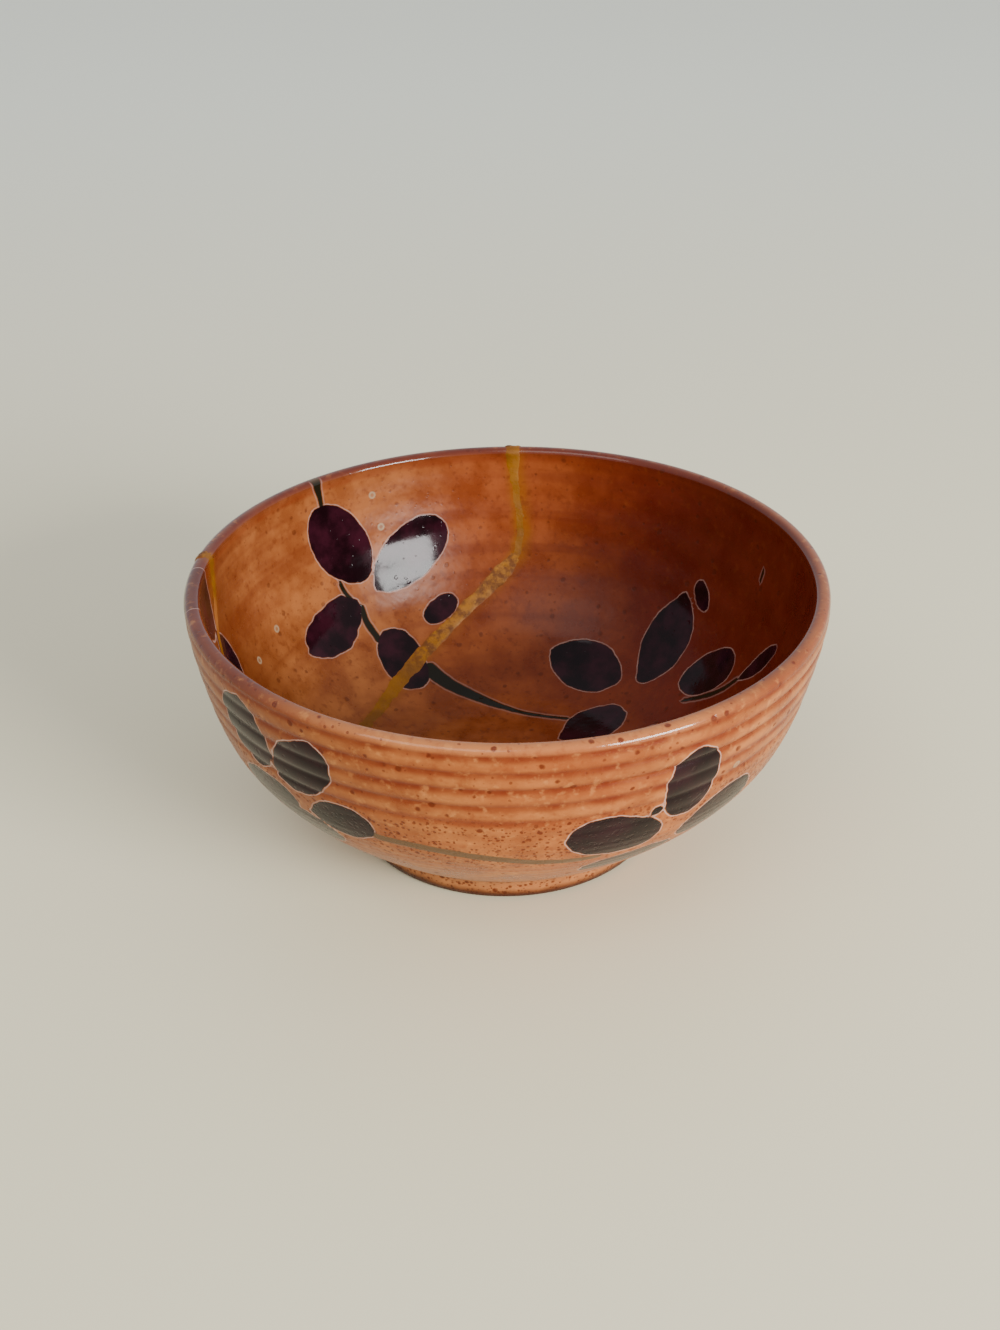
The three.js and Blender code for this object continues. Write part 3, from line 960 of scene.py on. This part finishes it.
def worked_glaze(s, ground):
    """The marks of throwing and firing: bands, dark grooves, a thin lip, gold dust and grain, and painted
    light on the front of the lip.
    """
    flattened = s.vector("MULTIPLY", s.place, (0.06, 0.06, 1))
    thrown = s.noise(2.6, 2, place=flattened)
    band_colour = s.mix(s.inside, (136, 60, 24), (88, 28, 10))
    ground = s.mix(s.step(thrown, 0.45, 0.68, 0, 0.4), ground, band_colour)
    uneven = s.step(s.noise(3.4), 0.25, 0.7, 0.55, 1.0)
    ground = s.mix(s.product(s.value("groove"), uneven), ground, (104, 36, 12))
    patches = s.step(s.sum(s.mottle, s.product(s.inside, 0.25)), 0.35, 0.7, 0.65, 1.0)
    thin = s.product(s.lip, patches, s.step(s.depth, -70, -46, 0.1, 1.0))
    thin = s.product(thin, s.step(s.across, 30, 68, 1.0, 0.5))
    ground = s.mix(thin, ground, (84, 31, 17))
    # Painted light: the lip is lighter at the front.
    lit_near_lip = s.product(s.lip, s.step(s.depth, -70, -48, 0.45, 0))
    ground = s.mix(lit_near_lip, ground, (186, 120, 68))
    dust = s.product(s.value("stain"), s.step(s.mottle, 0.25, 0.6, 0.45, 1.0))
    ground = s.mix(dust, ground, (124, 72, 10))
    grain_colour = s.mix(s.inside, (118, 50, 20), (84, 30, 10))
    ground = s.mix(s.step(s.grain, 0.52, 0.72, 0, 0.4), ground, grain_colour)
    freckle = s.product(s.step(s.noise(1.2), 0.54, 0.76, 0, 0.3), s.step(s.inside, 0, 1, 1.0, 0.35))
    return s.mix(freckle, ground, s.mix(s.inside, (206, 140, 78), (144, 78, 32)))


def iron_spots(s):
    """Iron spots, with a pitted band of them low on the outside and on the foot: 1 on a spot."""
    rising = s.step(s.height, PITTED_BOTTOM - 8, PITTED_BOTTOM + 1, 0.2, 1)
    falling = s.step(s.height, PITTED_TOP - 1, PITTED_TOP + 4, 1, 0.05)
    band = s.most(s.product(rising, falling, s.rest(s.inside)), s.foot)
    large = s.specks(3.2, 0.4, 0.95, 0.5, s.ragged)
    small = s.specks(1.7, 0.22, 0.48, 0.5, s.ragged)
    pits = s.most(s.specks(1.3, 0.32, 0.6, 0.85, s.ragged), s.specks(0.9, 0.2, 0.36, 0.6))
    spots = s.most(large, s.product(small, 0.7), s.product(pits, band, 0.9))
    return s.product(spots, s.step(s.fine, 0.25, 0.5, 0.6, 1.0), s.rest(s.product(s.inside, 0.45)))


def brushwork(s, ground):
    """Leaves and stems with a ragged edge, in a thin pale line where the glazes met, and ringed drops."""
    edge = s.sum(s.value("leaf"), s.swing(s.noise(1.6), 0.7))
    stem = s.math("SUBTRACT", s.math("ABSOLUTE", s.value("stem_side"), 0.0), s.value("stem_half"))
    stem = s.sum(stem, s.swing(s.noise(1.3), 0.5))
    leaf = s.product(s.step(edge, -0.14, 0.12, 1, 0), s.rest(s.product(s.lip, 0.7)))
    brushed = s.step(stem, -0.25, 0.2, 1, 0)
    halo = s.product(s.step(edge, 0.02, 0.18), s.step(edge, 0.22, 0.46, 1, 0))
    halo = s.product(halo, s.step(s.noise(1.9), 0.3, 0.6, 0.4, 0.9))
    stem_halo = s.product(s.step(stem, 0.0, 0.25), s.step(stem, 0.3, 0.7, 0.4, 0), s.inside)
    drops = s.nearest([surface(azimuth, along_of(face, drop))[0] for face, azimuth, drop in DROPS])
    ring = s.product(s.step(drops, 0.3, 0.7, 0.3, 1), s.step(drops, 0.8, 1.2, 0.75, 0))
    plum = s.mix(s.step(s.noise(4.5, 4), 0.35, 0.7), (18, 5, 8), (46, 14, 24))
    plum = s.mix(s.step(s.inside, 0, 1, 0.5, 0), plum, (14, 1, 3))
    pale = s.mix(s.inside, (178, 146, 134), (150, 120, 110))
    colour = s.mix(s.most(halo, stem_halo), ground, pale)
    colour = s.mix(brushed, colour, s.mix(s.inside, (92, 66, 42), (26, 22, 12)))
    colour = s.mix(ring, colour, (150, 128, 100))
    return s.mix(leaf, colour, plum), leaf, brushed


def glazed_stoneware(name):
    """Speckled orange-brown glaze over a red clay, with dark brushed leaves under the same gloss."""
    s = GlazeShader(name)
    s.put("Specular IOR Level", 0.15)
    s.put("Coat Roughness", 0.08)
    spots = iron_spots(s)
    ground = worked_glaze(s, ground_glaze(s))
    ground = s.mix(s.product(s.foot, 0.3), ground, (184, 130, 84))
    ground = s.mix(s.product(spots, 0.9), ground, s.mix(s.inside, (88, 28, 4), (66, 22, 6)))
    colour, leaf, brushed = brushwork(s, ground)

    # Bare clay under the foot and in the break, and the brown edge of the glaze round the foot.
    clay = s.mix(s.step(s.grain, 0.35, 0.65), (150, 98, 68), (176, 122, 88))
    clay = s.mix(s.specks(2.6, 0.1, 0.3, 0.5, s.ragged), clay, (92, 52, 34))
    unglazed = s.most(s.value("bare"), s.value("broken"))
    colour = s.mix(unglazed, colour, clay)
    glaze_edge = s.step(s.sum(s.height, s.noise(2.4)), 1.6, 4.0, 1, 0)
    colour = s.mix(s.product(glaze_edge, s.foot), colour, (70, 28, 10))

    s.put("Coat Weight", s.product(s.lip, 0.55))
    roughness = s.sum(s.step(s.mottle, 0.3, 0.7, 0.26, 0.36), s.product(spots, 0.12))
    roughness = s.blend(s.lip, roughness, 0.1)
    dark = s.most(leaf, s.product(brushed, s.inside))
    roughness = s.blend(dark, roughness, s.step(s.inside, 0, 1, 0.2, 0.1))
    roughness = s.blend(unglazed, roughness, 0.85)

    skin = s.product(s.noise(2.6, 2), s.rest(s.product(leaf, 0.7)))
    hollows = s.product(spots, -1.0)
    raised = s.most(leaf, s.product(brushed, 0.6))
    grit = s.product(s.fine, unglazed)
    return s.finish(colour, roughness, [(skin, 0.12), (hollows, 0.05), (raised, 0.05), (grit, 0.2)])


def gold_lacquer(name):
    """Gold powder on lacquer: ochre, lumpy, worn thin where the body value is low."""
    s = Shader(name)
    s.put("Metallic", 0.08)
    s.put("Specular IOR Level", 0.3)
    body = s.value("body")
    clumps = s.noise(1.4, 4, 0.6)
    patches = s.step(s.noise(5), 0.35, 0.65)
    thick = s.mix(s.step(clumps, 0.36, 0.66), (96, 50, 1), (148, 92, 4))
    thick = s.mix(s.step(s.noise(0.6, 2), 0.6, 0.8, 0, 0.4), thick, (186, 130, 24))
    thin = s.mix(patches, (106, 62, 0), (130, 80, 2))
    faint = s.mix(patches, (130, 72, 24), (144, 86, 34))
    colour = s.mix(s.step(body, 0.05, 0.3), faint, thin)
    colour = s.mix(s.step(body, 0.4, 0.9), colour, thick)
    specks = s.specks(1.4, 0.15, 0.45, 0.4, s.bent_place(0.8, 0.3))
    colour = s.mix(s.product(specks, 0.45), colour, (110, 52, 2))
    ragged_edge = s.sum(s.value("across"), s.swing(s.noise(2.0), 1.2))
    colour = s.mix(s.step(ragged_edge, 0.7, 1.05, 0, 0.7), colour, (120, 58, 10))
    roughness = s.step(clumps, 0.3, 0.7, 0.6, 0.45)
    return s.finish(colour, roughness, [(clumps, 0.14), (s.noise(0.5, 2), 0.05)])


# ---- the pieces ----
def add_clay(name, node, keep_shard):
    points, values, faces = cut_bowl(keep_shard)
    piece = make_mesh(name, points, faces)
    add_values(piece, NAMES[FIRST_MATERIAL_NAME:], values[:, FIRST_MATERIAL_NAME:])
    add_uv(piece, values[:, 0], values[:, 1])
    piece.data.materials.append(glazed_stoneware(name + "_glaze"))
    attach(piece, "root")
    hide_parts(node)


def add_gold():
    points, faces, values = seam_mesh()
    piece = make_mesh("kintsugi_gold", points, faces)
    add_values(piece, ["across", "body"], values[:, :2])
    add_uv(piece, values[:, 2], values[:, 3])
    piece.data.materials.append(gold_lacquer("gold_lacquer_seam"))
    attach(piece, "root")
    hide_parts("gold_seam")


add_clay("stoneware_bowl", "bowl_body", False)
add_clay("stoneware_shard", "rejoined_shard", True)
add_gold()


# ---- the studio: a plain pale table, two soft lamps and pale light all round ----
# Name, direction from the bowl, distance and size in metres, power and colour. The first stands in
# front on the right, like a window, and the second is broad, and high in front on the left.
LAMPS = [
    ("window", (0.666, -0.655, 0.358), 1.3, (0.6, 0.38), 32, (1, 0.99, 0.97)),
    ("white_ceiling", (-0.32, -0.555, 0.766), 4.0, (2.8, 2.3), 54, (1, 0.99, 0.96)),
]
ROUND_COLOUR = (0.93, 0.95, 1, 1)
ROUND_STRENGTH = 0.8
TABLE_HALF = 20 * BOWL_RADIUS
CAMERA_PITCH = 30.94  # degrees below level
CAMERA_ROLL = -0.65
CAMERA_LENS = 46.0
CAMERA_PLACE = (-0.0248, -4.701, 3.372)  # in bowl radii


def add_table():
    corners = np.array([(-1, -1, 0), (1, -1, 0), (1, 1, 0), (-1, 1, 0)]) * TABLE_HALF
    table = make_mesh("table", corners, [[0, 1, 2, 3]])
    s = Shader("table_top")
    s.put("Roughness", 0.45)
    near = s.mix(s.noise(260, 2), (225, 218, 187), (220, 212, 180))
    far = s.add("ShaderNodeSeparateXYZ", {0: s.place}).outputs["Y"]
    tint = s.mix(s.step(far, 0, 900), near, (234, 237, 219))
    s.put("Base Color", tint)
    table.data.materials.append(s.material)


def add_light(name, direction, distance, size, energy, colour):
    light = bpy.data.lights.new(name, "AREA")
    light.shape = "RECTANGLE"
    light.size, light.size_y = size
    light.energy = energy
    light.color = colour
    lamp = add_object(name, light)
    towards = Vector(direction).normalized()
    lamp.location = towards * distance
    lamp.rotation_euler = towards.to_track_quat("Z", "Y").to_euler()


def add_world():
    world = bpy.data.worlds.new("studio")
    world.use_nodes = True
    background = world.node_tree.nodes["Background"]
    background.inputs["Color"].default_value = ROUND_COLOUR
    background.inputs["Strength"].default_value = ROUND_STRENGTH
    bpy.context.scene.world = world


def add_camera():
    """In front of the bowl, looking down into it."""
    pitch = radians(CAMERA_PITCH)
    roll = radians(CAMERA_ROLL)
    forward = Vector((0, cos(pitch), -sin(pitch)))
    up = Vector((0, sin(pitch), cos(pitch)))
    right = Vector((1, 0, 0))
    camera_right = right * cos(roll) + up * sin(roll)
    camera_up = up * cos(roll) - right * sin(roll)
    turn = Matrix((camera_right, camera_up, -forward)).transposed()
    data = bpy.data.cameras.new("camera")
    data.lens = CAMERA_LENS
    camera = add_object("camera", data)
    place = Vector(CAMERA_PLACE) * BOWL_RADIUS * MM
    camera.matrix_world = Matrix.Translation(place) @ turn.to_4x4()
    bpy.context.scene.camera = camera


add_table()
for lamp in LAMPS:
    add_light(*lamp)
add_world()
add_camera()
